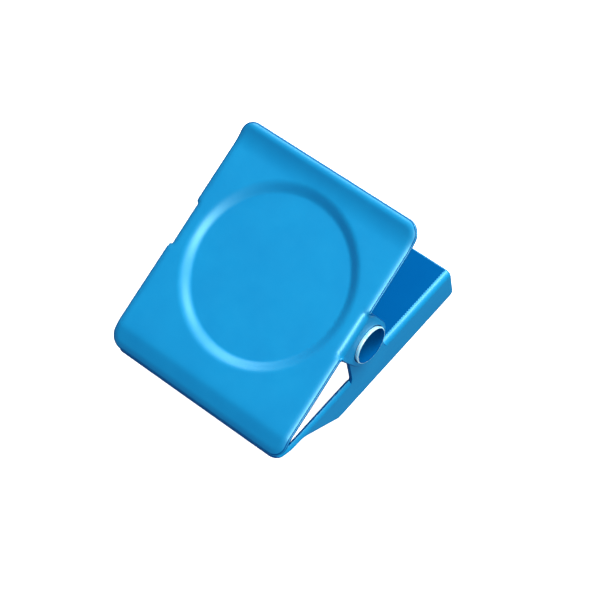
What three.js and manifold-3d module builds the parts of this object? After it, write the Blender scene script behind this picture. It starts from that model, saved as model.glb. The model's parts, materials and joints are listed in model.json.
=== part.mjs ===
// Spring clip clothespin: two pressed steel plates on a hollow pivot tube, a torsion spring
// between them, and a round magnet behind the back plate.
//
// Millimetres. +X is along the hinge, +Y runs from the jaw to the finger tabs, +Z is up.
// The clip lies on its magnet: the back plate is level, and the front plate slopes up to its tab.

import * as THREE from 'three';
import { mergeVertices } from 'three/addons/utils/BufferGeometryUtils.js';
import Module from 'manifold-3d';

const wasm = await Module();
wasm.setup();

// ---- driving dimensions ----------------------------------------------------------------------

const SHEET = 0.6; // thickness of the pressed steel
const CLOSED_ANGLE = THREE.MathUtils.degToRad(24); // between the plates with the jaw closed
const HINGE_OFFSET = 5.6; // hinge axis to the upper face of either plate
const JAW_REACH = 18.8; // hinge axis to the jaw tips
const LIP_LENGTH = 2.9; // the last stretch of each plate, bent towards the other one
const JAW_GAP = 0.3; // between the lips at rest

const FRONT_TAB_REACH = 16.45; // hinge axis to the front plate's tab edge
const FRONT_JAW_HALF_WIDTH = 15.2;
const FRONT_TAB_HALF_WIDTH = 14.9;
const FRONT_LIP_DROP = 1.0;
const CORNER_RADIUS = 2.0;
const CURL_LENGTH = 4.2; // the tab's edge, curled up away from the back plate
const CURL_RISE = 1.3;

const RECESS_RADIUS = 12.1; // at half the depth of its wall
const RECESS_DEPTH = 0.8;
const RECESS_WALL = 1.5; // width of the sloping wall
const RECESS_CENTRE = 0.3; // from the hinge axis, towards the tab

const BACK_TAB_REACH = 17.6;
const BACK_HALF_WIDTH = 14.2;
const FLANGE_DEPTH = 5.3; // from the back plate's upper face to the flange's free edge
const FLANGE_TAPER_START = -6.8; // the free edge is straight from here to the tab
const FLANGE_TAPER_END = -13.4; // and meets the plate here
const SLOT_WIDTH = 2.4; // opening in the back plate beside each flange, in the jaw half
const SLOT_START = -16.0;

const EAR_GAP = 0.1; // between a front ear and the back ear inside it
const EAR_BASE_HALF = 3.75; // half the width of an ear where it leaves its plate
const EAR_TIP_RADIUS = 3.45; // round end of an ear, about the hinge axis
const EAR_NOTCH = 0.2; // relief cut at each side of a front ear
const WINDOW_DEPTH = 8.6; // blank that each back ear is folded up from

const TUBE_RADIUS = 2.7;
const TUBE_WALL = 0.3;
const TUBE_CLEARANCE = 0.08; // all round, in the ears' holes
const TUBE_OVERHANG = 0.5; // past each front ear
const TUBE_FLARE = 0.15; // how far the rolled end is wider than the tube

const WIRE_RADIUS = 0.45;
const COIL_RADIUS = 3.4; // to the middle of the wire
const COIL_TURNS = 5;
const COIL_PITCH = 1.0;
const FRONT_LEG_RISE = THREE.MathUtils.degToRad(24.8); // direction of the leg under the front plate
const BACK_LEG_DROP = THREE.MathUtils.degToRad(7.5); // direction of the leg on the back plate
const LEG_LENGTH = 12.0;

const MAGNET_RADIUS = 8.0;
const MAGNET_THICKNESS = 4.7;
const ADHESIVE_RADIUS = 7.0;
const ADHESIVE_THICKNESS = 0.3;
const CONTACT_GAP = 0.02; // air left between pieces that touch

const ROUND_STEPS = 64;
const HOLE_STEPS = 40;
const ARC_STEPS = 10;
const CORNER_STEPS = 4;
const WIRE_SIDES = 8;
const SPRING_STEPS = 150;
const PAST = 1.0; // how far a cutting tool runs past what it cuts

// ---- worked out from them --------------------------------------------------------------------

const frontEarOuter = BACK_HALF_WIDTH + EAR_GAP + SHEET;
const magnetBottom = -HINGE_OFFSET - SHEET - ADHESIVE_THICKNESS - MAGNET_THICKNESS;
const hingeHeight = -magnetBottom;
const hingeY = JAW_REACH - (JAW_REACH + BACK_TAB_REACH) / 2;
// The front lip's inner corner, turned into the level frame, says how far the back lip rises.
const frontLipInner = HINGE_OFFSET - FRONT_LIP_DROP - SHEET;
const frontLipHeight =
    frontLipInner * Math.cos(CLOSED_ANGLE) - JAW_REACH * Math.sin(CLOSED_ANGLE);
const backLipRise = frontLipHeight - JAW_GAP + HINGE_OFFSET;

// ---- solids ----------------------------------------------------------------------------------

function solidOf(geometry) {
    const bare = geometry.index ? geometry.toNonIndexed() : geometry;
    bare.deleteAttribute('normal');
    bare.deleteAttribute('uv');
    const merged = mergeVertices(bare, 1e-5);
    const vertProperties = new Float32Array(merged.attributes.position.array);
    const triVerts = new Uint32Array(merged.index.array);
    return new wasm.Manifold(new wasm.Mesh({ numProp: 3, vertProperties, triVerts }));
}

function geometryOf(solid) {
    const mesh = solid.getMesh();
    const geometry = new THREE.BufferGeometry();
    geometry.setAttribute('position', new THREE.BufferAttribute(mesh.vertProperties, 3));
    geometry.setIndex(new THREE.BufferAttribute(mesh.triVerts, 1));
    const faceted = geometry.toNonIndexed();
    faceted.computeVertexNormals();
    return faceted;
}

function outline(points) {
    return new THREE.Shape(points.map(([a, b]) => new THREE.Vector2(a, b)));
}

// A prism whose section lies in the Y-Z plane, from x = start to x = end.
function prismAlongX(shape, start, end, curveSegments = ARC_STEPS) {
    const depth = end - start;
    const geometry = new THREE.ExtrudeGeometry(shape, { depth, bevelEnabled: false, curveSegments });
    const turn = new THREE.Matrix4().makeBasis(
        new THREE.Vector3(0, 1, 0),
        new THREE.Vector3(0, 0, 1),
        new THREE.Vector3(1, 0, 0),
    );
    geometry.applyMatrix4(turn);
    geometry.translate(start, 0, 0);
    return solidOf(geometry);
}

// A prism whose section lies in the X-Y plane, from z = start to z = end.
function prismAlongZ(shape, start, end, curveSegments = CORNER_STEPS) {
    const depth = end - start;
    const geometry = new THREE.ExtrudeGeometry(shape, { depth, bevelEnabled: false, curveSegments });
    geometry.translate(0, 0, start);
    return solidOf(geometry);
}

function block(from, to) {
    const size = to.map((value, axis) => value - from[axis]);
    const geometry = new THREE.BoxGeometry(...size);
    geometry.translate(...from.map((value, axis) => value + size[axis] / 2));
    return solidOf(geometry);
}

// A turned piece: the profile's points are [radius, height], and the axis is Z.
function turned(profile) {
    const points = profile.map(([radius, height]) => new THREE.Vector2(radius, height));
    const geometry = new THREE.LatheGeometry(points, ROUND_STEPS);
    geometry.rotateX(Math.PI / 2);
    return geometry;
}

function plateOutline(jawHalf, tabHalf, jawY, tabY) {
    const r = CORNER_RADIUS;
    const shape = new THREE.Shape();
    shape.moveTo(-jawHalf + r, jawY);
    shape.lineTo(jawHalf - r, jawY);
    shape.absarc(jawHalf - r, jawY + r, r, -Math.PI / 2, 0, false);
    shape.absarc(tabHalf - r, tabY - r, r, 0, Math.PI / 2, false);
    shape.absarc(-tabHalf + r, tabY - r, r, Math.PI / 2, Math.PI, false);
    shape.absarc(-jawHalf + r, jawY + r, r, Math.PI, 1.5 * Math.PI, false);
    return shape;
}

// An ear: its base is on its plate at height base, and its round end is about the hinge axis.
// side is +1 for an ear that stands up, -1 for one that hangs.
function earOutline(base, side) {
    const r = EAR_TIP_RADIUS;
    // The straight flanks meet the round end at this angle towards the base.
    const tangent = Math.atan2(Math.abs(base), EAR_BASE_HALF)
        - Math.acos(r / Math.hypot(EAR_BASE_HALF, base));
    const shape = new THREE.Shape();
    shape.moveTo(-side * EAR_BASE_HALF, base);
    if (side > 0) {
        shape.lineTo(EAR_BASE_HALF, base);
        shape.absarc(0, 0, r, -tangent, Math.PI + tangent, false);
    } else {
        shape.lineTo(-EAR_BASE_HALF, base);
        shape.absarc(0, 0, r, Math.PI - tangent, 2 * Math.PI + tangent, false);
    }
    return shape;
}

// What the tube's holes take out of both ears of a plate.
function tubeHole() {
    const length = 2 * (FRONT_JAW_HALF_WIDTH + PAST);
    const radius = TUBE_RADIUS + TUBE_CLEARANCE;
    const geometry = new THREE.CylinderGeometry(radius, radius, length, HOLE_STEPS);
    geometry.rotateZ(Math.PI / 2);
    return solidOf(geometry);
}

// ---- front plate -----------------------------------------------------------------------------
// Its own frame has the hinge axis at the origin and the plate's outer face at z = HINGE_OFFSET.

function curlHeight(y) {
    const s = Math.max(0, (y - (FRONT_TAB_REACH - CURL_LENGTH)) / CURL_LENGTH);
    return CURL_RISE * s * s;
}

function frontSection() {
    const top = HINGE_OFFSET;
    const curlStart = FRONT_TAB_REACH - CURL_LENGTH;
    const curlSteps = 6;
    const upper = [
        [-JAW_REACH, top - FRONT_LIP_DROP],
        [-JAW_REACH + LIP_LENGTH, top],
    ];
    for (let i = 0; i <= curlSteps; i++) {
        const y = curlStart + (CURL_LENGTH * i) / curlSteps;
        upper.push([y, top + curlHeight(y)]);
    }
    const lower = upper.map(([y, z]) => [y, z - SHEET]).reverse();
    return outline([...upper, ...lower]);
}

function frontPlate() {
    const top = HINGE_OFFSET;
    const plan = plateOutline(
        FRONT_JAW_HALF_WIDTH, FRONT_TAB_HALF_WIDTH, -JAW_REACH, FRONT_TAB_REACH);
    const wide = FRONT_JAW_HALF_WIDTH + PAST;
    let plate = prismAlongX(frontSection(), -wide, wide)
        .intersect(prismAlongZ(plan, 0, 2 * HINGE_OFFSET));

    // The round recess: pressed down, so it stands out below by as much as it sinks above.
    const outer = RECESS_RADIUS + RECESS_WALL / 2;
    const inner = RECESS_RADIUS - RECESS_WALL / 2;
    const floor = top - RECESS_DEPTH;
    const boss = turned([[0, floor - SHEET], [inner, floor - SHEET], [outer, top - SHEET],
        [outer, top - SHEET / 2], [0, top - SHEET / 2]]);
    const bowl = turned([[0, floor], [inner, floor], [outer, top], [outer, top + PAST],
        [0, top + PAST]]);
    for (const geometry of [boss, bowl]) {
        geometry.translate(0, RECESS_CENTRE, 0);
    }
    plate = plate.add(solidOf(boss)).subtract(solidOf(bowl));

    for (const side of [-1, 1]) {
        const [from, to] = [frontEarOuter, wide].map((x) => x * side).sort((a, b) => a - b);
        const half = EAR_BASE_HALF + EAR_NOTCH;
        plate = plate.subtract(block([from, -half, 0], [to, half, 2 * top]));
    }
    for (const side of [-1, 1]) {
        const ends = [frontEarOuter - SHEET, frontEarOuter].map((x) => x * side);
        plate = plate.add(prismAlongX(earOutline(top - SHEET / 4, -1), Math.min(...ends),
            Math.max(...ends)));
    }
    return geometryOf(plate.subtract(tubeHole()));
}

// ---- back plate ------------------------------------------------------------------------------
// Its frame is level and has the hinge axis at the origin; its upper face is at -HINGE_OFFSET.

function backSection() {
    const top = -HINGE_OFFSET;
    const upper = [
        [-JAW_REACH, top + backLipRise],
        [-JAW_REACH + LIP_LENGTH, top],
        [BACK_TAB_REACH, top],
    ];
    const lower = upper.map(([y, z]) => [y, z - SHEET]).reverse();
    return outline([...upper, ...lower]);
}

function flangeOutline() {
    const top = -HINGE_OFFSET;
    return outline([
        [FLANGE_TAPER_END, top],
        [FLANGE_TAPER_END, top - SHEET],
        [FLANGE_TAPER_START, top - FLANGE_DEPTH],
        [BACK_TAB_REACH, top - FLANGE_DEPTH],
        [BACK_TAB_REACH, top],
    ]);
}

function backPlate() {
    const top = -HINGE_OFFSET;
    const plan = plateOutline(BACK_HALF_WIDTH, BACK_HALF_WIDTH, -JAW_REACH,
        BACK_TAB_REACH + CORNER_RADIUS);
    const wide = BACK_HALF_WIDTH + PAST;
    let plate = prismAlongX(backSection(), -wide, wide)
        .intersect(prismAlongZ(plan, -2 * HINGE_OFFSET, 0));

    const wallInner = BACK_HALF_WIDTH - SHEET;
    for (const side of [-1, 1]) {
        const slot = [wallInner - SLOT_WIDTH, wallInner].map((x) => x * side);
        plate = plate.subtract(block(
            [Math.min(...slot), SLOT_START, top - PAST],
            [Math.max(...slot), -EAR_BASE_HALF, top + PAST]));
        const window = [wallInner - WINDOW_DEPTH, wallInner].map((x) => x * side);
        plate = plate.subtract(block(
            [Math.min(...window), -EAR_BASE_HALF, top - PAST],
            [Math.max(...window), EAR_BASE_HALF, top + PAST]));
    }
    for (const side of [-1, 1]) {
        const wall = [wallInner, BACK_HALF_WIDTH].map((x) => x * side);
        const [from, to] = [Math.min(...wall), Math.max(...wall)];
        plate = plate.add(prismAlongX(flangeOutline(), from, to));
        plate = plate.add(prismAlongX(earOutline(top - SHEET, 1), from, to));
    }
    return geometryOf(plate.subtract(tubeHole()));
}

// ---- hinge tube ------------------------------------------------------------------------------

function hingeTube() {
    const end = frontEarOuter + TUBE_OVERHANG;
    const flareStart = end - TUBE_OVERHANG / 2;
    const bore = TUBE_RADIUS - TUBE_WALL;
    const profile = [
        [bore, -flareStart], [bore + TUBE_FLARE, -end], [TUBE_RADIUS + TUBE_FLARE, -end],
        [TUBE_RADIUS, -flareStart], [TUBE_RADIUS, flareStart],
        [TUBE_RADIUS + TUBE_FLARE, end], [bore + TUBE_FLARE, end], [bore, flareStart],
        [bore, -flareStart],
    ];
    const geometry = turned(profile);
    geometry.rotateY(Math.PI / 2);
    return geometryOf(solidOf(geometry));
}

// ---- torsion spring --------------------------------------------------------------------------
// One leg lies under the front plate, the wire winds round the tube towards +X, and the other leg
// lies on the back plate. Angles are measured in the Y-Z plane from +Y.

class SpringPath extends THREE.Curve {
    constructor() {
        super();
        this.from = Math.PI / 2 + FRONT_LEG_RISE;
        this.to = 1.5 * Math.PI - BACK_LEG_DROP + 2 * Math.PI * COIL_TURNS;
        this.coilLength = (this.to - this.from) * COIL_RADIUS;
        this.total = this.coilLength + 2 * LEG_LENGTH;
    }

    onCoil(angle) {
        const turns = (angle - (this.from + this.to) / 2) / (2 * Math.PI);
        return new THREE.Vector3(
            turns * COIL_PITCH, COIL_RADIUS * Math.cos(angle), COIL_RADIUS * Math.sin(angle));
    }

    getPoint(t, target = new THREE.Vector3()) {
        const s = t * this.total - LEG_LENGTH;
        const along = THREE.MathUtils.clamp(s, 0, this.coilLength);
        const angle = this.from + along / COIL_RADIUS;
        const forward = new THREE.Vector3(0, -Math.sin(angle), Math.cos(angle));
        return target.copy(this.onCoil(angle)).addScaledVector(forward, s - along);
    }
}

function torsionSpring() {
    const wire = new THREE.Shape();
    wire.absarc(0, 0, WIRE_RADIUS, 0, 2 * Math.PI, false);
    const geometry = new THREE.ExtrudeGeometry(wire, {
        steps: SPRING_STEPS,
        extrudePath: new SpringPath(),
        curveSegments: WIRE_SIDES / 2,
    });
    return geometryOf(solidOf(geometry));
}

// ---- magnet and its adhesive -----------------------------------------------------------------

function disc(radius, low, high) {
    return geometryOf(solidOf(turned([[0, low], [radius, low], [radius, high], [0, high]])));
}

function magnet() {
    const top = magnetBottom + MAGNET_THICKNESS;
    return disc(MAGNET_RADIUS, magnetBottom, top - CONTACT_GAP);
}

function magnetAdhesive() {
    const top = -HINGE_OFFSET - SHEET;
    return disc(ADHESIVE_RADIUS, top - ADHESIVE_THICKNESS, top - CONTACT_GAP);
}

// ---- assembly --------------------------------------------------------------------------------

const paint = { color: 0x2196d3, roughness: 0.35, metalness: 0.1 };
const steel = { color: 0xb8bcc2, roughness: 0.3, metalness: 1.0 };
const ferrite = { color: 0x2b2c2f, roughness: 0.75, metalness: 0.1 };
const glue = { color: 0xd8d2bd, roughness: 0.6, metalness: 0.0 };

function piece(name, geometry, look) {
    const mesh = new THREE.Mesh(geometry, new THREE.MeshStandardMaterial(look));
    mesh.name = name;
    return mesh;
}

const group = new THREE.Group();
group.position.set(0, hingeY, hingeHeight);

const front = new THREE.Group();
front.rotation.x = CLOSED_ANGLE;
front.add(piece('front_plate', frontPlate(), paint));

const under = new THREE.Group();
under.position.set(0, RECESS_CENTRE, 0);
under.add(piece('magnet', magnet(), ferrite));
under.add(piece('magnet_adhesive', magnetAdhesive(), glue));

group.add(front);
group.add(under);
group.add(piece('back_plate', backPlate(), paint));
group.add(piece('hinge_tube', hingeTube(), paint));
group.add(piece('torsion_spring', torsionSpring(), steel));

export default group;
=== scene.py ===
"""Spring clip clothespin: the looks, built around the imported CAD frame.

Shapes are worked out in millimetres and turned into metres when a mesh is made. Each plate is
made as its real blank is: a flat outline with holes, filled with a fine net of points, then
pressed and folded, and given its thickness with softly rounded edges.
"""

import math

import bpy
import numpy as np
from mathutils import Matrix, Vector
from mathutils.geometry import delaunay_2d_cdt
from mathutils.kdtree import KDTree
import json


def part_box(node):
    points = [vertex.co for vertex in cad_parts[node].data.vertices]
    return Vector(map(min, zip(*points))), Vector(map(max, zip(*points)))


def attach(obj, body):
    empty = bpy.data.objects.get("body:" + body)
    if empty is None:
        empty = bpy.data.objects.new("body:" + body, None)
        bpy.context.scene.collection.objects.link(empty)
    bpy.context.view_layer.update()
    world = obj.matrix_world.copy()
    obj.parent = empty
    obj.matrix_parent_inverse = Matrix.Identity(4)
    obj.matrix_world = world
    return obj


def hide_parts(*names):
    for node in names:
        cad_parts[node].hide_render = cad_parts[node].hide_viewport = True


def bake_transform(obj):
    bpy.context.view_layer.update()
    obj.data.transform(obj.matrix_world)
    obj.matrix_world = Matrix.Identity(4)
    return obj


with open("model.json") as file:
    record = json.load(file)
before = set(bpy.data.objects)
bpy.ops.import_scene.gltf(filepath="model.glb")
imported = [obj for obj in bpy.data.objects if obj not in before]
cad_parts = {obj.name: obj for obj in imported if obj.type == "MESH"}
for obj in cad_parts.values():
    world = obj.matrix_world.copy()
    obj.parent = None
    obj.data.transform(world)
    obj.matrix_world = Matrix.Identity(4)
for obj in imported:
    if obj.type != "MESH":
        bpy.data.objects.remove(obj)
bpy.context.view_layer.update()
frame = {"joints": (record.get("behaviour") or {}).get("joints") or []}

# ---- driving dimensions, in millimetres and radians -------------------------------------------

MM = 0.001  # metres in a millimetre
HINGE = Vector(frame["joints"][0]["pos_m"]) / MM
FRONT_BOX = [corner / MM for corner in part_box("front_plate")]
BACK_BOX = [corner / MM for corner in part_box("back_plate")]
TUBE_BOX = [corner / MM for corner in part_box("hinge_tube")]
MAGNET_BOX = [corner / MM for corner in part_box("magnet")]
ADHESIVE_BOX = [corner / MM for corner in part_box("magnet_adhesive")]

SHEET = 0.6
CLOSED_ANGLE = math.radians(24)
HINGE_OFFSET = 5.6  # hinge axis to the front plate's outer face, and to the back plate's inner face
JAW_REACH = 18.8
LIP_LENGTH = 2.9

FRONT_TAB_REACH = 16.45
FRONT_JAW_HALF = FRONT_BOX[1].x
FRONT_NARROWING = 0.3  # how much less the tab's half width is than the jaw's
FRONT_TAB_HALF = FRONT_JAW_HALF - FRONT_NARROWING
FRONT_LIP_DROP = 1.0
FRONT_LIP_SOFTNESS = 0.4  # roundness of the crease where the lip begins
CURL_LENGTH = 4.2
CURL_RISE = 1.3
CORNER_RADIUS = 2.0
RECESS_RADIUS = 12.1
RECESS_WALL = 1.9
RECESS_DEPTH = 0.8
RECESS_CENTRE = 0.3

BACK_HALF = BACK_BOX[1].x
BACK_TAB_REACH = BACK_BOX[1].y - HINGE.y
BACK_LIP_RISE = 1.35
BACK_LIP_SOFTNESS = 0.7
BACK_JAW_CORNER = 1.1
BACK_TAB_CORNER = 0.4
FLANGE_DEPTH = 5.3
FLANGE_TAPER_START = -6.8
FLANGE_TAPER_START_RADIUS = 0.8
FLANGE_TAPER_END = -13.4
FLANGE_TAPER_END_RADIUS = 3.0
SLOT_START = -16.0
SLOT_WIDTH = 3.1
SLOT_MARGIN = 0.1  # how far the slot reaches into the flange's bend
WINDOW_DEPTH = 8.6  # how far in the window reaches that each back ear is folded out of
WINDOW_CORNER = 0.8

FRONT_BEND = 0.9  # radius of the ears' bend, at mid sheet
BACK_BEND = 0.5
EAR_GAP = 0.1
FRONT_EAR_HALF = 3.75
FRONT_EAR_ROOT_RADIUS = 0.3
BACK_EAR_HALF = 3.4
BACK_EAR_ROOT = 1.0  # height over which the back ear narrows from its foot
BACK_EAR_ROOT_RADIUS = 0.6
EAR_TIP_RADIUS = 3.45
EAR_FADE_START = 3.0  # distance from the hinge, along the edge, where the front ears' fold fades
EAR_FADE_LENGTH = 1.2
EAR_ROOT_SLANT = 0.03  # how far the plate's narrowing shifts its side at either side of an ear
FADED_BEND = 0.3
FLARE_LENGTH = 1.5  # how far down the ear its spread towards the plate's edge reaches
HOLE_RADIUS = 2.75

TUBE_RADIUS = 2.7
TUBE_WALL = 0.3
TUBE_FLARE = 0.1
TUBE_SIDES = 96
DISC_SIDES = 128

WIRE_RADIUS = 0.45
COIL_RADIUS = 3.4
COIL_TURNS = 5
COIL_PITCH = 1.0
FRONT_LEG_RISE = math.radians(24.8)
BACK_LEG_DROP = math.radians(7.5)
LEG_LENGTH = 12.0
WIRE_SIDES = 16
WIRE_STEP = 0.3

EDGE = 0.22  # how far the rounded edge stands out past the net of points
EDGE_STEPS = 10
EDGE_SQUARENESS = 2.4  # 2 is a half circle
ROLL_WIDTH = 0.9  # the front plate's border is turned down over this width
ROLL_DROP = 0.30
ROLL_SHADED = 0.86  # how near the border, from 0 to 1, the roll takes the edge's painted shade
TAB_ROLL_WIDTH = 1.0  # the tab's edge turns down again past the crest of its curl
TAB_ROLL_DROP = 0.40

NET_SPACING = 0.5
OUTLINE_SPACING = 0.3
HOLE_SPACING = 0.25
ROW_SPACING = 0.4  # between points along a row that follows a fold or a press
LIP_ROW_STEP = 0.22
CURL_ROW_STEP = 0.25
RECESS_ROWS = 13
RECESS_ROW_SPACING = 0.36
ROLL_ROWS = 7


# ---- sheet metal ------------------------------------------------------------------------------


def spaced(start, end):
    """Points from start up to, but not with, end."""
    start = np.array(start, float)
    end = np.array(end, float)
    count = max(1, math.ceil(np.linalg.norm(end - start) / OUTLINE_SPACING - 1e-6))
    steps = np.arange(count)[:, None] / count
    return start + (end - start) * steps


def filleted(corners):
    """A closed outline through (x, y, radius) corners, each rounded to its radius."""
    count = len(corners)
    entries, exits, arcs = [], [], []
    for i, (x, y, radius) in enumerate(corners):
        here = np.array([x, y], float)
        before = np.array(corners[i - 1][:2], float) - here
        after = np.array(corners[(i + 1) % count][:2], float) - here
        before /= np.linalg.norm(before)
        after /= np.linalg.norm(after)
        half = math.acos(np.clip(before @ after, -1, 1)) / 2
        if radius <= 0 or math.pi / 2 - half < 1e-4:
            entries.append(here)
            exits.append(here)
            arcs.append(None)
            continue
        reach = radius / math.tan(half)
        middle = before + after
        centre = here + middle / np.linalg.norm(middle) * radius / math.sin(half)
        entries.append(here + before * reach)
        exits.append(here + after * reach)
        arcs.append(centre)
    points = []
    for i, centre in enumerate(arcs):
        if centre is not None:
            first = math.atan2(*(entries[i] - centre)[::-1])
            last = math.atan2(*(exits[i] - centre)[::-1])
            turn = (last - first + math.pi) % (2 * math.pi) - math.pi
            radius = np.linalg.norm(entries[i] - centre)
            steps = max(3, math.ceil(abs(turn) * radius / (OUTLINE_SPACING * 0.7)))
            for k in range(steps):
                angle = first + turn * k / steps
                points.append(centre + radius * np.array([math.cos(angle), math.sin(angle)]))
        points.extend(spaced(exits[i], entries[(i + 1) % count]))
    return np.array(points)


def ring(centre, radius, spacing):
    """Points round a circle."""
    count = max(12, math.ceil(2 * math.pi * radius / spacing))
    angles = np.arange(count) * 2 * math.pi / count
    return np.array(centre) + radius * np.stack([np.cos(angles), np.sin(angles)], 1)


def within(points, outline):
    """Which of the points lie inside a closed outline."""
    inside = np.zeros(len(points), bool)
    x, y = points[:, 0], points[:, 1]
    for (x0, y0), (x1, y1) in zip(outline, np.roll(outline, -1, 0)):
        crosses = (y0 > y) != (y1 > y)
        if y0 != y1:
            inside ^= crosses & (x < x0 + (y - y0) * (x1 - x0) / (y1 - y0))
    return inside


def filled(outer, holes, rows):
    """A net of triangles over a blank. rows are extra points that follow its folds and presses."""
    fixed = np.concatenate([outer, *holes])
    rows = rows[within(rows, outer)]
    for hole in holes:
        rows = rows[~within(rows, hole)]
    low, high = outer.min(0), outer.max(0)
    across = np.arange(low[0], high[0], NET_SPACING)
    up = np.arange(low[1], high[1], NET_SPACING * math.sqrt(3) / 2)
    shift = NET_SPACING / 2
    grid = np.array([(x + (j % 2) * shift, y) for j, y in enumerate(up) for x in across])
    grid = grid[within(grid, outer)]
    for hole in holes:
        grid = grid[~within(grid, hole)]
    rows = far_from(rows, fixed, 0.35 * OUTLINE_SPACING)
    grid = far_from(grid, np.concatenate([fixed, rows]), 0.55 * NET_SPACING)
    points = np.concatenate([fixed, rows, grid])
    edges, first = [], 0
    for loop in [outer, *holes]:
        size = len(loop)
        edges += [(first + k, first + (k + 1) % size) for k in range(size)]
        first += size
    found = delaunay_2d_cdt([Vector(p) for p in points], edges, [], 0, 1e-7)
    net = np.array([tuple(v) for v in found[0]])
    triangles = np.array([tuple(f) for f in found[2]])
    middles = net[triangles].mean(1)
    keep = within(middles, outer)
    for hole in holes:
        keep &= ~within(middles, hole)
    triangles = triangles[keep]
    a, b, c = (net[triangles[:, k]] for k in range(3))
    turn = (b[:, 0] - a[:, 0]) * (c[:, 1] - a[:, 1]) - (b[:, 1] - a[:, 1]) * (c[:, 0] - a[:, 0])
    triangles[turn < 0] = triangles[turn < 0][:, ::-1]
    return net, triangles


def far_from(points, others, distance):
    """Those of the points that keep this distance from all the others."""
    tree = KDTree(len(others))
    for i, (x, y) in enumerate(others):
        tree.insert((x, y, 0), i)
    tree.balance()
    keep = [tree.find((x, y, 0))[2] > distance for x, y in points]
    return points[np.array(keep, bool)] if len(points) else points


def welded(parts):
    """Several nets as one, with points that fall together made one point."""
    points = np.concatenate([p for p, _ in parts])
    offsets = np.cumsum([0] + [len(p) for p, _ in parts[:-1]])
    triangles = np.concatenate([t + o for (_, t), o in zip(parts, offsets)])
    keys = np.round(points, 3)
    _, first, same = np.unique(keys, axis=0, return_index=True, return_inverse=True)
    triangles = same.reshape(-1)[triangles]
    points = points[first]
    used = np.unique(triangles)
    renumber = np.full(len(points), -1)
    renumber[used] = np.arange(len(used))
    return points[used], renumber[triangles]


def thickened(points, triangles):
    """Gives a folded net the sheet's thickness, with rounded edges. Returns points and faces.

    The faces are listed as the outer side, the inner side, then the cut edge.
    """
    a, b, c = (points[triangles[:, k]] for k in range(3))
    crosses = np.cross(b - a, c - a)
    normals = np.zeros_like(points)
    for k in range(3):
        np.add.at(normals, triangles[:, k], crosses)
    normals /= np.linalg.norm(normals, axis=1, keepdims=True)

    directed = {(t[k], t[(k + 1) % 3]) for t in triangles.tolist() for k in range(3)}
    rim = {a: b for a, b in directed if (b, a) not in directed}
    back = {b: a for a, b in rim.items()}

    count = len(points)
    verts = list(points + normals * SHEET / 2) + list(points - normals * SHEET / 2)
    faces = [tuple(t) for t in triangles.tolist()]
    faces += [tuple(count + i for i in reversed(t)) for t in triangles.tolist()]
    rails = {}
    power = 2 / EDGE_SQUARENESS
    for i in rim:
        along = points[rim[i]] - points[back[i]]
        outward = np.cross(along, normals[i])
        outward /= np.linalg.norm(outward)
        rail = [i]
        for k in range(1, EDGE_STEPS):
            angle = math.pi * k / EDGE_STEPS
            out = EDGE * math.sin(angle) ** power
            up = SHEET / 2 * math.copysign(abs(math.cos(angle)) ** power, math.cos(angle))
            rail.append(len(verts))
            verts.append(points[i] + outward * out + normals[i] * up)
        rail.append(count + i)
        rails[i] = rail
    for i, j in rim.items():
        for k in range(EDGE_STEPS):
            faces.append((rails[i][k], rails[i][k + 1], rails[j][k + 1], rails[j][k]))
    return np.array(verts), faces


def darken_cut_edges(piece, triangles, material):
    """Colours the middle of the cut edge darker: painted shade."""
    piece.data.materials.append(material)
    slot = len(piece.data.materials) - 1
    for i, face in enumerate(piece.data.polygons[2 * len(triangles):]):
        if 1 <= i % EDGE_STEPS < EDGE_STEPS - 1:
            face.material_index = slot


def smooth_step(t):
    """From 0 to 1 with level ends."""
    t = np.clip(t, 0, 1)
    return t * t * (3 - 2 * t)


def soft_ramp(t, softness):
    """Zero below 0 and t above it, with a rounded corner."""
    return (t + np.sqrt(t * t + softness * softness)) / 2


def fold(u, start, radius):
    """Across a right-angled fold that begins at u = start: how far out, and how far down."""
    turn = np.clip((u - start) / radius, 0, math.pi / 2)
    past = np.maximum(u - start - radius * math.pi / 2, 0)
    out = np.minimum(u, start) + radius * np.sin(turn)
    down = radius * (1 - np.cos(turn)) + past
    return out, down


def fold_rows(start, radius, low, high):
    """Rows of points along a fold on both sides of the blank."""
    across = start + radius * math.pi / 2 * np.linspace(-0.15, 1.15, 10)
    along = np.arange(low, high, ROW_SPACING)
    shift = ROW_SPACING / 2
    one = np.array([(u, v + (k % 2) * shift) for k, u in enumerate(across) for v in along])
    return np.concatenate([one, one * [-1, 1]])


def cross_rows(half, start, end, step):
    """Straight rows of points across the blank, from y = start up to y = end."""
    along = np.arange(-half, half, ROW_SPACING)
    return [np.stack([along, np.full_like(along, y)], 1) for y in np.arange(start, end, step)]


def lip_rows(half):
    """Rows across the jaw's lip, on both sides of its crease."""
    return cross_rows(half, -JAW_REACH + 0.5, -JAW_REACH + LIP_LENGTH + 1.6, LIP_ROW_STEP)


def mirrored(corners):
    """A closed outline's corners from those of its right half, listed from -Y to +Y."""
    return corners + [(-x, y, radius) for x, y, radius in reversed(corners)]


# ---- making objects ---------------------------------------------------------------------------


def add_mesh(name, verts, faces, material, body, node):
    """A smooth mesh from millimetre points in the row frame, which replaces a CAD node."""
    mesh = bpy.data.meshes.new(name)
    mesh.from_pydata([tuple(float(c) * MM for c in v) for v in verts], [], faces)
    mesh.validate()
    mesh.shade_smooth()
    mesh.materials.append(material)
    piece = bpy.data.objects.new(name, mesh)
    bpy.context.scene.collection.objects.link(piece)
    if body:
        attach(piece, body)
    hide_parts(node)
    return piece


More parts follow.
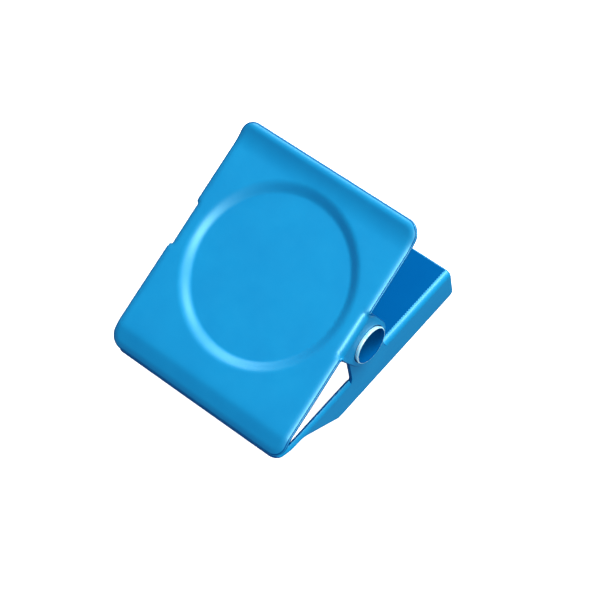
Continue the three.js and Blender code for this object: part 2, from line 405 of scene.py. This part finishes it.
def turned(profile, steps, closed):
    """Points and faces of a profile of (radius, height) turned about Z."""
    verts, faces = [], []
    count = len(profile)
    for k in range(steps):
        angle = 2 * math.pi * k / steps
        for radius, height in profile:
            verts.append((radius * math.cos(angle), radius * math.sin(angle), height))
    spans = count if closed else count - 1
    for k in range(steps):
        here, there = k * count, (k + 1) % steps * count
        for i in range(spans):
            j = (i + 1) % count
            faces.append((here + i, there + i, there + j, here + j))
    return verts, faces


# ---- front plate ------------------------------------------------------------------------------


def front_height(x, y):
    """Mid sheet of the front plate, above the hinge axis, in the front plate's own frame."""
    radius = np.hypot(x, y - RECESS_CENTRE)
    pressed = smooth_step((RECESS_RADIUS + RECESS_WALL / 2 - radius) / RECESS_WALL)
    lip = FRONT_LIP_DROP / LIP_LENGTH * soft_ramp(-JAW_REACH + LIP_LENGTH - y, FRONT_LIP_SOFTNESS)
    curl = np.clip((y - FRONT_TAB_REACH + CURL_LENGTH) / CURL_LENGTH, 0, None)
    crest = np.clip((y - FRONT_TAB_REACH + TAB_ROLL_WIDTH) / TAB_ROLL_WIDTH, 0, None)
    tab = CURL_RISE * curl**2 - TAB_ROLL_DROP * crest**2
    return HINGE_OFFSET - SHEET / 2 - RECESS_DEPTH * pressed - lip + tab


def inset(outline, distance):
    """Points at a distance inside a closed outline that runs anticlockwise."""
    along = np.roll(outline, -1, 0) - np.roll(outline, 1, 0)
    along /= np.linalg.norm(along, axis=1, keepdims=True)
    return outline + distance * np.stack([-along[:, 1], along[:, 0]], 1)


def border_distance(points, outline):
    """How far each point is from a closed outline."""
    nearest = np.full(len(points), np.inf)
    for a, b in zip(outline, np.roll(outline, -1, 0)):
        side = b - a
        t = np.clip(((points - a) @ side) / (side @ side), 0, 1)
        nearest = np.minimum(nearest, np.linalg.norm(points - a - t[:, None] * side, axis=1))
    return nearest


def front_half(y):
    """Half the front plate's width, which narrows towards the tab."""
    along = (y + JAW_REACH) / (FRONT_TAB_REACH + JAW_REACH)
    return FRONT_JAW_HALF + (FRONT_TAB_HALF - FRONT_JAW_HALF) * along


def front_fold(u, y, bend_start):
    """The ears' fold, which fades out into the plate's edge at both sides of each ear."""
    fade = smooth_step((np.abs(y) - EAR_FADE_START) / EAR_FADE_LENGTH)
    start = bend_start + (front_half(0) - bend_start) * fade
    radius = FRONT_BEND + (FADED_BEND - FRONT_BEND) * fade
    out, down = fold(u, start, radius)
    flare = start + radius - bend_start - FRONT_BEND
    return out - flare * (1 - np.exp(-(down / FLARE_LENGTH) ** 2)), down


def front_blank():
    """The front plate's flat net, where its bends start, and each point's nearness to its border."""
    ear_mid = BACK_HALF + EAR_GAP + SHEET / 2
    bend_start = ear_mid - FRONT_BEND
    bend_end = bend_start + FRONT_BEND * math.pi / 2
    pivot = bend_end + HINGE_OFFSET - SHEET / 2 - FRONT_BEND
    ear_end = pivot + EAR_TIP_RADIUS - EDGE
    ear_half = FRONT_EAR_HALF - EDGE
    tip = EAR_TIP_RADIUS - EDGE
    side = front_half(0) - EDGE
    right = [
        (FRONT_JAW_HALF - EDGE, -JAW_REACH + EDGE, CORNER_RADIUS - EDGE),
        (side + EAR_ROOT_SLANT, -ear_half, FRONT_EAR_ROOT_RADIUS),
        (ear_end, -tip, tip - 0.1),
        (ear_end, tip, tip - 0.1),
        (side - EAR_ROOT_SLANT, ear_half, FRONT_EAR_ROOT_RADIUS),
        (FRONT_TAB_HALF - EDGE, FRONT_TAB_REACH - EDGE, CORNER_RADIUS - EDGE),
    ]
    outer = filleted(mirrored(right))
    hole = ring((pivot, 0), HOLE_RADIUS + EDGE, HOLE_SPACING)
    rows = [fold_rows(bend_start, FRONT_BEND, -ear_half, ear_half)]
    for k in range(RECESS_ROWS):
        radius = RECESS_RADIUS + RECESS_WALL * (k / (RECESS_ROWS - 1) - 0.5) * 1.15
        rows.append(ring((0, RECESS_CENTRE), radius, RECESS_ROW_SPACING))
    rows += lip_rows(FRONT_JAW_HALF)
    curl_start = FRONT_TAB_REACH - CURL_LENGTH
    rows += cross_rows(FRONT_JAW_HALF, curl_start, FRONT_TAB_REACH, CURL_ROW_STEP)
    rows = [far_from(np.concatenate(rows), outer, ROLL_WIDTH * 1.2)]
    rows += [inset(outer, ROLL_WIDTH * k / ROLL_ROWS) for k in range(1, ROLL_ROWS + 1)]
    net, triangles = filled(outer, [hole, hole * [-1, 1]], np.concatenate(rows))
    near_border = np.clip(1 - border_distance(net, outer) / ROLL_WIDTH, 0, 1)
    on_ear = (np.abs(net[:, 0]) > side + 0.1) & (np.abs(net[:, 1]) < FRONT_EAR_HALF + 0.5)
    near_border[on_ear] = 0
    return net, triangles, bend_start, near_border


def front_to_row(points):
    """From the front plate's frame, with its origin on the hinge axis, to the row frame."""
    turn = np.array(Matrix.Rotation(CLOSED_ANGLE, 3, "X"))
    return points @ turn.T + np.array(HINGE)


def make_front_plate(material, edge):
    net, triangles, bend_start, near_border = front_blank()
    u, y = net[:, 0], net[:, 1]
    out, down = front_fold(np.abs(u), y, bend_start)
    x = np.sign(u) * out
    z = front_height(x, y) - down - ROLL_DROP * near_border**2
    points = np.stack([x, y, z], 1)
    verts, faces = thickened(points, triangles)
    piece = add_mesh("front_plate_skin", front_to_row(verts), faces, material, "front",
                     "front_plate")
    darken_cut_edges(piece, triangles, edge)
    # the outermost strip of the border also takes the edge's darker paint: painted shade
    for face, corners in zip(piece.data.polygons, triangles):
        if near_border[corners].mean() > ROLL_SHADED:
            face.material_index = 1


# ---- back plate -------------------------------------------------------------------------------


def back_height(y):
    """Mid sheet of the back plate, above the hinge axis."""
    lip = BACK_LIP_RISE / LIP_LENGTH * soft_ramp(-JAW_REACH + LIP_LENGTH - y, BACK_LIP_SOFTNESS)
    return -HINGE_OFFSET - SHEET / 2 + lip


def make_back_plate(material, inside, edge):
    wall = BACK_HALF - SHEET / 2
    bend_start = wall - BACK_BEND
    bend_end = bend_start + BACK_BEND * math.pi / 2
    flange_end = bend_end + FLANGE_DEPTH - EDGE - SHEET / 2 - BACK_BEND
    ear_base = BACK_EAR_HALF + EDGE
    right = [
        (bend_end, -JAW_REACH + EDGE, BACK_JAW_CORNER),
        (bend_end, FLANGE_TAPER_END, FLANGE_TAPER_END_RADIUS),
        (flange_end, FLANGE_TAPER_START, FLANGE_TAPER_START_RADIUS),
        (flange_end, BACK_TAB_REACH - EDGE, BACK_TAB_CORNER),
    ]
    slot_outer = bend_start + SLOT_MARGIN + EDGE
    slot_inner = slot_outer - SLOT_WIDTH - 2 * EDGE
    window = slot_outer - WINDOW_DEPTH
    opening = filleted([
        (slot_inner, SLOT_START - EDGE, 0.7),
        (slot_outer, SLOT_START - EDGE, 0.3),
        (slot_outer, -ear_base, 0),
        (bend_end, -ear_base, 0),
        (bend_end, ear_base, 0),
        (window, ear_base, WINDOW_CORNER),
        (window, -ear_base, WINDOW_CORNER),
        (slot_inner, -ear_base, 0.5),
    ])
    rows = [fold_rows(bend_start, BACK_BEND, -JAW_REACH, BACK_TAB_REACH), *lip_rows(BACK_HALF)]
    outer = filleted(mirrored(right))
    net, triangles = filled(outer, [opening, opening * [-1, 1]], np.concatenate(rows))
    out, down = fold(np.abs(net[:, 0]), bend_start, BACK_BEND)
    x = np.sign(net[:, 0]) * out
    sheet = np.stack([x, net[:, 1], back_height(net[:, 1]) - down], 1)
    parts = [(sheet, triangles)]

    base = back_height(0.0) - BACK_BEND
    half = BACK_EAR_HALF - EDGE
    top = EAR_TIP_RADIUS - EDGE
    ear = filleted([
        (-ear_base, base, 0),
        (ear_base, base, 0),
        (half, base + BACK_EAR_ROOT, BACK_EAR_ROOT_RADIUS),
        (half, top, half - 0.05),
        (-half, top, half - 0.05),
        (-half, base + BACK_EAR_ROOT, BACK_EAR_ROOT_RADIUS),
    ])
    hole = ring((0, 0), HOLE_RADIUS + EDGE, HOLE_SPACING)
    flat, ear_triangles = filled(ear, [hole], np.zeros((0, 2)))
    for side in (-1, 1):
        standing = np.stack([np.full(len(flat), side * wall), flat[:, 0], flat[:, 1]], 1)
        facing = ear_triangles if side > 0 else ear_triangles[:, ::-1]
        parts.append((standing, facing))
    points, triangles = welded(parts)
    verts, faces = thickened(points, triangles)
    piece = add_mesh("back_plate_skin", verts + np.array(HINGE), faces, material, "back",
                     "back_plate")
    # the flat face between the bends takes the darker copy of the paint: painted shade
    piece.data.materials.append(inside)
    for face in piece.data.polygons[:len(triangles)]:
        if abs(face.center.x) / MM < bend_start:
            face.material_index = 1
    darken_cut_edges(piece, triangles, edge)


# ---- hinge tube -------------------------------------------------------------------------------


def make_hinge_tube(material, inside, rim_highlight):
    end = TUBE_BOX[1].x
    bore = TUBE_RADIUS - TUBE_WALL
    mid = TUBE_RADIUS - TUBE_WALL / 2
    flare_start = BACK_HALF + EAR_GAP + SHEET
    half = [(bore, 0.0), (bore, flare_start)]
    half.append((bore + TUBE_FLARE * 0.3, end - TUBE_WALL - 0.05))
    lip = TUBE_WALL / 2
    for k in range(9):
        angle = math.pi * k / 8
        half.append((mid + TUBE_FLARE - lip * math.cos(angle), end - lip + lip * math.sin(angle)))
    half.append((TUBE_RADIUS + TUBE_FLARE * 0.3, flare_start + 0.12))
    half.append((TUBE_RADIUS, flare_start))
    half.append((TUBE_RADIUS, 0.0))
    other = [(radius, -height) for radius, height in half[-2:0:-1]]
    verts, faces = turned(half + other, TUBE_SIDES, True)
    turn = np.array(Matrix.Rotation(math.pi / 2, 3, "Y"))
    points = np.array(verts) @ turn.T + np.array(HINGE)
    piece = add_mesh("hinge_tube_skin", points, faces, material, "back", "hinge_tube")
    piece.data.materials.append(inside)
    piece.data.materials.append(rim_highlight)
    for face in piece.data.polygons:
        middle = face.center / MM - HINGE
        radius = math.hypot(middle.y, middle.z)
        # faces of the bore take the darker copy of the paint: painted shade
        if radius < mid + TUBE_FLARE * 0.7:
            face.material_index = 1
        # faces of the rolled ends take a pale colour: painted highlight
        elif abs(middle.x) > flare_start:
            face.material_index = 2


# ---- torsion spring ---------------------------------------------------------------------------


def spring_path():
    """The wire's centreline about the hinge axis: front leg, coil, back leg."""
    first = math.pi / 2 + FRONT_LEG_RISE
    last = 1.5 * math.pi - BACK_LEG_DROP + 2 * math.pi * COIL_TURNS
    coil = (last - first) * COIL_RADIUS
    path = []
    for s in np.arange(-LEG_LENGTH, coil + LEG_LENGTH + WIRE_STEP / 2, WIRE_STEP):
        on_coil = min(max(s, 0), coil)
        angle = first + on_coil / COIL_RADIUS
        turns = (angle - (first + last) / 2) / (2 * math.pi)
        y = COIL_RADIUS * math.cos(angle) - math.sin(angle) * (s - on_coil)
        z = COIL_RADIUS * math.sin(angle) + math.cos(angle) * (s - on_coil)
        path.append((turns * COIL_PITCH, y, z))
    return np.array(path)


def make_torsion_spring(material):
    path = spring_path()
    sides = WIRE_SIDES
    round_end = 4  # rings in the rounding of each cut end
    along = np.gradient(path, axis=0)
    along /= np.linalg.norm(along, axis=1, keepdims=True)
    side = np.tile(np.array([1.0, 0, 0]), (len(path), 1))
    side -= along * (side * along).sum(1, keepdims=True)
    side /= np.linalg.norm(side, axis=1, keepdims=True)
    up = np.cross(along, side)
    rings = []
    for k in range(round_end, 0, -1):
        angle = math.pi / 2 * k / (round_end + 0.5)
        rings.append((0, -0.5 * WIRE_RADIUS * math.sin(angle), math.cos(angle)))
    rings += [(i, 0, 1) for i in range(len(path))]
    for k in range(1, round_end + 1):
        angle = math.pi / 2 * k / (round_end + 0.5)
        rings.append((len(path) - 1, 0.5 * WIRE_RADIUS * math.sin(angle), math.cos(angle)))
    verts, faces = [], []
    for i, shift, scale in rings:
        centre = path[i] + along[i] * shift
        for k in range(sides):
            angle = 2 * math.pi * k / sides
            spoke = side[i] * math.cos(angle) + up[i] * math.sin(angle)
            verts.append(centre + spoke * WIRE_RADIUS * scale)
    for r in range(len(rings) - 1):
        for k in range(sides):
            a, b = r * sides + k, r * sides + (k + 1) % sides
            faces.append((a, b, b + sides, a + sides))
    faces.append(tuple(reversed(range(sides))))
    faces.append(tuple(range(len(verts) - sides, len(verts))))
    piece = add_mesh("torsion_spring_wire", np.array(verts) + np.array(HINGE), faces, material,
                     None, "torsion_spring")
    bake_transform(piece)


# ---- magnet and adhesive ----------------------------------------------------------------------


def disc_profile(radius, low, high, rounding):
    """Half the section of a disc with rounded rims, from near the axis out and back."""
    steps = 5
    profile = [(0.01, low)]
    for r in np.linspace(0.2, radius - rounding - 0.05, 14):
        profile.append((r, low))
    for k in range(steps + 1):
        angle = math.pi / 2 * k / steps
        profile.append((radius - rounding + rounding * math.sin(angle),
                        low + rounding - rounding * math.cos(angle)))
    for k in range(steps + 1):
        angle = math.pi / 2 * k / steps
        profile.append((radius - rounding + rounding * math.cos(angle),
                        high - rounding + rounding * math.sin(angle)))
    profile.append((0.01, high))
    return profile


def make_disc(name, box, rounding, material, node):
    low, high = box
    radius = (high.x - low.x) / 2
    verts, faces = turned(disc_profile(radius, low.z, high.z, rounding), DISC_SIDES, False)
    count = len(verts) // DISC_SIDES
    faces.append(tuple(reversed([k * count for k in range(DISC_SIDES)])))
    faces.append(tuple(k * count + count - 1 for k in range(DISC_SIDES)))
    centre = np.array([(low.x + high.x) / 2, (low.y + high.y) / 2, 0])
    add_mesh(name, np.array(verts) + centre, faces, material, "back", node)


# ---- materials --------------------------------------------------------------------------------


class Look:
    """A Principled material and short ways to wire nodes into it."""

    def __init__(self, name, **settings):
        self.material = bpy.data.materials.new(name)
        self.material.use_nodes = True
        self.nodes = self.material.node_tree.nodes
        self.links = self.material.node_tree.links
        self.shader = self.nodes["Principled BSDF"]
        for socket, value in settings.items():
            self.shader.inputs[socket.replace("_", " ")].default_value = value
        self.place = self.nodes.new("ShaderNodeTexCoord").outputs["Object"]

    def noise(self, size, detail=3.0, roughness=0.5):
        """Noise with features of about this many metres."""
        node = self.nodes.new("ShaderNodeTexNoise")
        node.inputs["Scale"].default_value = 1 / size
        node.inputs["Detail"].default_value = detail
        node.inputs["Roughness"].default_value = roughness
        self.links.new(self.place, node.inputs["Vector"])
        return node.outputs["Fac"]

    def ramp(self, value, stops):
        node = self.nodes.new("ShaderNodeValToRGB")
        ramp = node.color_ramp
        while len(ramp.elements) < len(stops):
            ramp.elements.new(0.5)
        for element, (position, colour) in zip(ramp.elements, stops):
            element.position = position
            element.color = (*colour, 1)
        self.links.new(value, node.inputs["Fac"])
        return node.outputs["Color"]

    def between(self, value, low, high):
        node = self.nodes.new("ShaderNodeMapRange")
        node.inputs["To Min"].default_value = low
        node.inputs["To Max"].default_value = high
        self.links.new(value, node.inputs["Value"])
        return node.outputs["Result"]

    def bump(self, height, depth, strength):
        node = self.nodes.new("ShaderNodeBump")
        node.inputs["Distance"].default_value = depth
        node.inputs["Strength"].default_value = strength
        self.links.new(height, node.inputs["Height"])
        return node

    def into(self, socket, value):
        self.links.new(value, self.shader.inputs[socket])


PAINT_GLEAM = (0.42, 0.92, 1.0, 1)  # the paint's highlights are cyan


def blue_paint(name, depth, gloss):
    """Satin blue paint. depth is 1 for the lit coat; less gives a darker copy of it, a painted
    shade.
    """
    look = Look(name, Metallic=0.0, IOR=1.5, Specular_IOR_Level=gloss)
    look.shader.inputs["Specular Tint"].default_value = PAINT_GLEAM
    patches = look.noise(0.006)
    look.into("Base Color", look.ramp(patches, [
        (0.3, (0.0006 * depth, 0.212 * depth, 0.480 * depth**0.6)),
        (0.7, (0.0012 * depth, 0.232 * depth, 0.505 * depth**0.6)),
    ]))
    look.into("Roughness", look.between(look.noise(0.0015), 0.36, 0.44))
    peel = look.bump(look.noise(0.0009, 2.0), 0.00001, 0.35)
    look.into("Normal", peel.outputs["Normal"])
    return look.material


def rim_painted_highlight():
    """The tube's rolled ends, coloured pale and bright: a painted highlight."""
    look = Look("rim_painted_highlight", Metallic=0.15, IOR=1.5)
    highlight_mottle = look.noise(0.0008, 4.0)
    look.into("Base Color", look.ramp(highlight_mottle, [
        (0.3, (0.30, 0.72, 0.86)),
        (0.6, (0.62, 0.88, 0.94)),
    ]))
    look.into("Roughness", look.between(highlight_mottle, 0.25, 0.4))
    look.into("Normal", look.bump(look.noise(0.0004), 0.000008, 0.4).outputs["Normal"])
    return look.material


def spring_steel():
    look = Look("spring_steel", Metallic=1.0)
    streaks = look.noise(0.0006, 4.0)
    look.into("Base Color", look.ramp(streaks, [
        (0.3, (0.50, 0.51, 0.53)),
        (0.7, (0.66, 0.67, 0.69)),
    ]))
    look.into("Roughness", look.between(streaks, 0.22, 0.38))
    look.into("Normal", look.bump(look.noise(0.0002), 0.000008, 0.4).outputs["Normal"])
    return look.material


def ferrite():
    look = Look("ferrite", Metallic=0.0, IOR=1.9)
    grains = look.noise(0.0004, 6.0, 0.7)
    look.into("Base Color", look.ramp(grains, [
        (0.35, (0.022, 0.022, 0.024)),
        (0.65, (0.060, 0.060, 0.064)),
    ]))
    look.into("Roughness", look.between(look.noise(0.003), 0.45, 0.7))
    look.into("Normal", look.bump(grains, 0.00002, 0.6).outputs["Normal"])
    return look.material


def adhesive():
    look = Look("adhesive", Roughness=0.35, IOR=1.5, Coat_Weight=0.4)
    clouds = look.noise(0.002, 4.0)
    look.into("Base Color", look.ramp(clouds, [
        (0.3, (0.62, 0.56, 0.40)),
        (0.7, (0.78, 0.73, 0.58)),
    ]))
    look.into("Normal", look.bump(look.noise(0.0008), 0.00005, 0.5).outputs["Normal"])
    return look.material


def floor_paper():
    look = Look("floor_paper", Roughness=0.85, Emission_Strength=0.9)
    look.shader.inputs["Emission Color"].default_value = (1, 1, 1, 1)
    look.into("Base Color", look.ramp(look.noise(0.02), [
        (0.3, (0.86, 0.86, 0.86)),
        (0.7, (0.88, 0.88, 0.88)),
    ]))
    return look.material


# ---- stage ------------------------------------------------------------------------------------


def direction(azimuth, elevation):
    """Unit vector towards a place: azimuth 0 is -Y, and 90 is +X."""
    a, e = math.radians(azimuth), math.radians(elevation)
    return Vector((math.sin(a) * math.cos(e), -math.cos(a) * math.cos(e), math.sin(e)))


CAMERA_LENS = 142.4
SENSOR_WIDTH = 36
CAMERA_TARGET = Vector((3.06, 0.56, 10.72)) * MM
CAMERA_AZIMUTH = 50.76
CAMERA_ELEVATION = 57.60
CAMERA_ROLL = math.radians(-12.23)
CAMERA_DISTANCE = 0.3142

# lamps are slightly warm and the fill is cool, so that shaded paint is a purer blue than lit paint
LAMP_DISTANCE = 0.6
LAMP_COLOUR = (1.0, 0.93, 0.82)
FILL_COLOUR = (0.5, 0.97, 1.48, 1)
FILL_STRENGTH = 0.29

FLOOR_HALF = 1.5


def add_camera():
    data = bpy.data.cameras.new("camera")
    data.lens = CAMERA_LENS
    data.sensor_width = SENSOR_WIDTH
    data.clip_start = 0.01
    camera = bpy.data.objects.new("camera", data)
    bpy.context.scene.collection.objects.link(camera)
    towards = direction(CAMERA_AZIMUTH, CAMERA_ELEVATION)
    turn = towards.to_track_quat("Z", "Y").to_matrix() @ Matrix.Rotation(CAMERA_ROLL, 3, "Z")
    place = CAMERA_TARGET + towards * CAMERA_DISTANCE
    camera.matrix_world = Matrix.Translation(place) @ turn.to_4x4()
    bpy.context.scene.camera = camera


def add_light(name, azimuth, elevation, size, power, gleam_only=False):
    """A round soft lamp. One that is gleam_only makes highlights and lights nothing else."""
    data = bpy.data.lights.new(name, "AREA")
    data.shape = "DISK"
    data.size = size
    data.energy = power
    data.color = LAMP_COLOUR
    light = bpy.data.objects.new(name, data)
    bpy.context.scene.collection.objects.link(light)
    towards = direction(azimuth, elevation)
    light.matrix_world = (
        Matrix.Translation(towards * LAMP_DISTANCE)
        @ towards.to_track_quat("Z", "Y").to_matrix().to_4x4()
    )
    light.visible_diffuse = not gleam_only


def add_floor():
    """A plain pale sheet, lit by itself, which neither lights the clip nor shows in its gloss."""
    half = FLOOR_HALF
    mesh = bpy.data.meshes.new("floor")
    corners = [(-half, -half, 0), (half, -half, 0), (half, half, 0), (-half, half, 0)]
    mesh.from_pydata(corners, [], [(0, 1, 2, 3)])
    mesh.materials.append(floor_paper())
    floor = bpy.data.objects.new("floor", mesh)
    bpy.context.scene.collection.objects.link(floor)
    floor.visible_diffuse = False
    floor.visible_glossy = False


def add_world():
    world = bpy.data.worlds.new("studio")
    world.use_nodes = True
    world.node_tree.nodes["Background"].inputs["Color"].default_value = FILL_COLOUR
    world.node_tree.nodes["Background"].inputs["Strength"].default_value = FILL_STRENGTH
    bpy.context.scene.world = world


# ---- everything -------------------------------------------------------------------------------

add_camera()
add_world()
add_floor()
add_light("key", 150, 56, 0.30, 4.9)
add_light("side", 72, 42, 0.30, 2.4)
add_light("rim", 205, 38, 0.25, 1.2)
add_light("side_gleam", 60, 42, 0.30, 3.5, gleam_only=True)
add_light("rim_gleam", 232, 46, 0.36, 1.9, gleam_only=True)
bpy.context.scene.view_settings.view_transform = "Standard"

paint = blue_paint("blue_paint", 1.0, 0.8)
# a darker copy of the paint: painted shade on the back plate's inner face and in the tube's bore
inner_painted_shade = blue_paint("blue_paint_inside_painted_shade", 0.34, 0.0)
# a darker copy of the paint: painted shade on the cut edges and the front plate's outermost border
edge_painted_shade = blue_paint("blue_paint_edge_painted_shade", 0.34, 0.1)
make_front_plate(paint, edge_painted_shade)
make_back_plate(paint, inner_painted_shade, edge_painted_shade)
# the tube's rolled ends get a pale painted highlight
make_hinge_tube(paint, inner_painted_shade, rim_painted_highlight())
make_torsion_spring(spring_steel())
make_disc("magnet_body", MAGNET_BOX, 0.3, ferrite(), "magnet")
make_disc("magnet_adhesive_film", ADHESIVE_BOX, 0.1, adhesive(), "magnet_adhesive")
